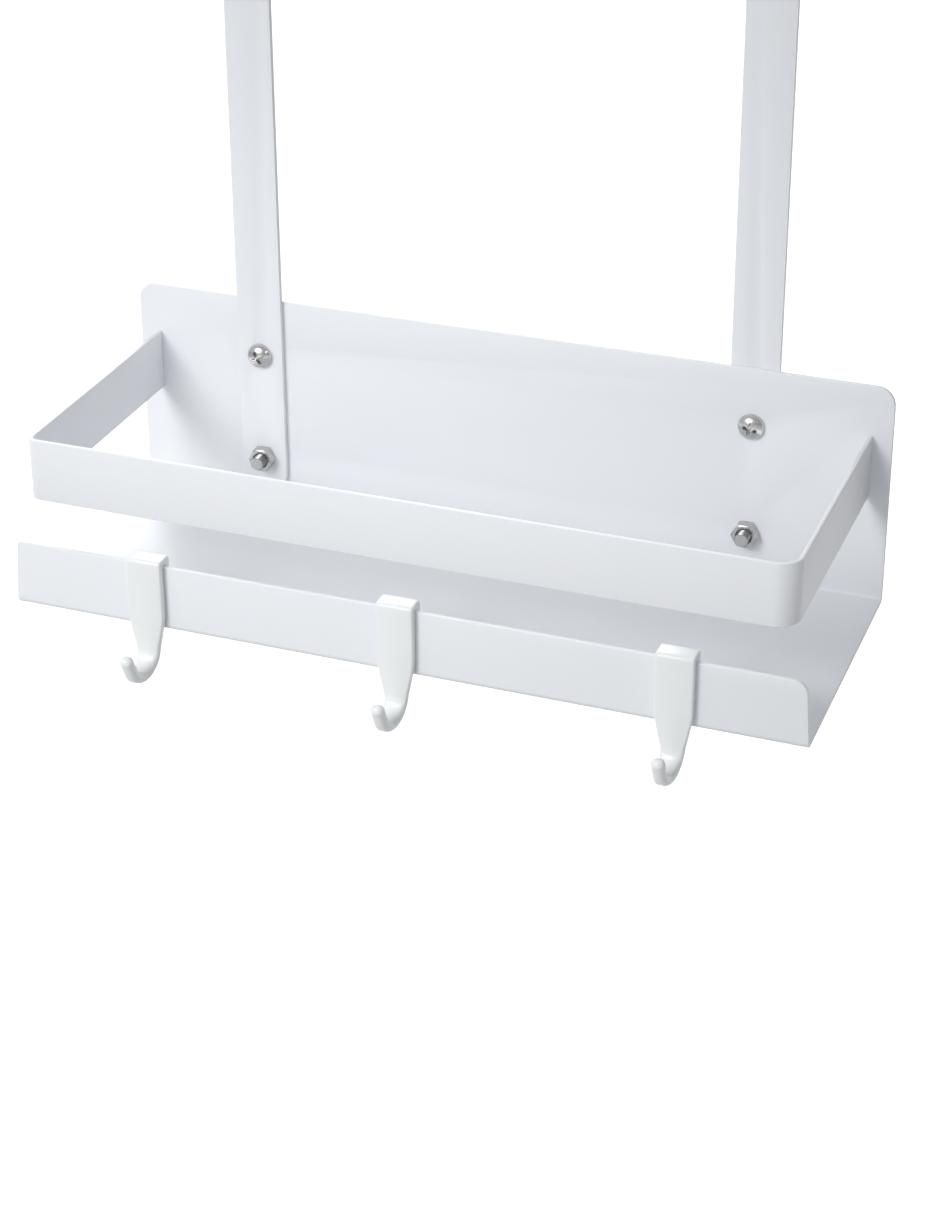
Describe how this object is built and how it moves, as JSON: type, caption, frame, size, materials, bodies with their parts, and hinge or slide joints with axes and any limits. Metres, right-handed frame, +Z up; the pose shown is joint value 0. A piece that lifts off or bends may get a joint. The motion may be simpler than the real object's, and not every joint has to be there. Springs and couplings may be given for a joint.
{
  "type": "over-door hook rack",
  "caption": "White steel shelf rack with a guard rail that hangs on flat straps hooked over a door, with small plastic hooks that slide along its front lip.",
  "frame": {"origin": "on the door's top edge at its front face, midway between the straps", "axes": "+X to the right seen from the front, +Y into the door, +Z up"},
  "size_m": [0.27, 0.1756, 0.3485],
  "materials": {
    "white_powder_coat": "matt powder coat on steel",
    "white_plastic": "moulded, slightly glossy",
    "stainless_steel": "bright stainless",
    "white_rubber": "matt moulded rubber",
    "grey_rubber": "matt anti-slip rubber strip"
  },
  "bodies": {
    "rack": {"shelf": "white_powder_coat", "guard_rail": "white_powder_coat", "strap_left": "white_powder_coat", "door_top_pad_left": "grey_rubber", "door_back_pad_left": "grey_rubber", "screw_upper_left": "stainless_steel", "nut_upper_left": "stainless_steel", "nut_lower_left": "stainless_steel", "bumper_stud_left": "stainless_steel", "bumper_left": "white_rubber", "strap_right": "white_powder_coat", "door_top_pad_right": "grey_rubber", "door_back_pad_right": "grey_rubber", "screw_upper_right": "stainless_steel", "nut_upper_right": "stainless_steel", "nut_lower_right": "stainless_steel", "bumper_stud_right": "stainless_steel", "bumper_right": "white_rubber"},
    "hook_left": {"hook_left": "white_plastic"},
    "hook_middle": {"hook_middle": "white_plastic"},
    "hook_right": {"hook_right": "white_plastic"}
  },
  "joints": [
    {"name": "hook_left_slide", "type": "slide", "parent": "rack", "child": "hook_left", "axis": [1, 0, 0], "range_m": [-0.0394, 0.0365]},
    {"name": "hook_middle_slide", "type": "slide", "parent": "rack", "child": "hook_middle", "axis": [1, 0, 0], "range_m": [-0.0365, 0.0385]},
    {"name": "hook_right_slide", "type": "slide", "parent": "rack", "child": "hook_right", "axis": [1, 0, 0], "range_m": [-0.0385, 0.0298]}
  ]
}
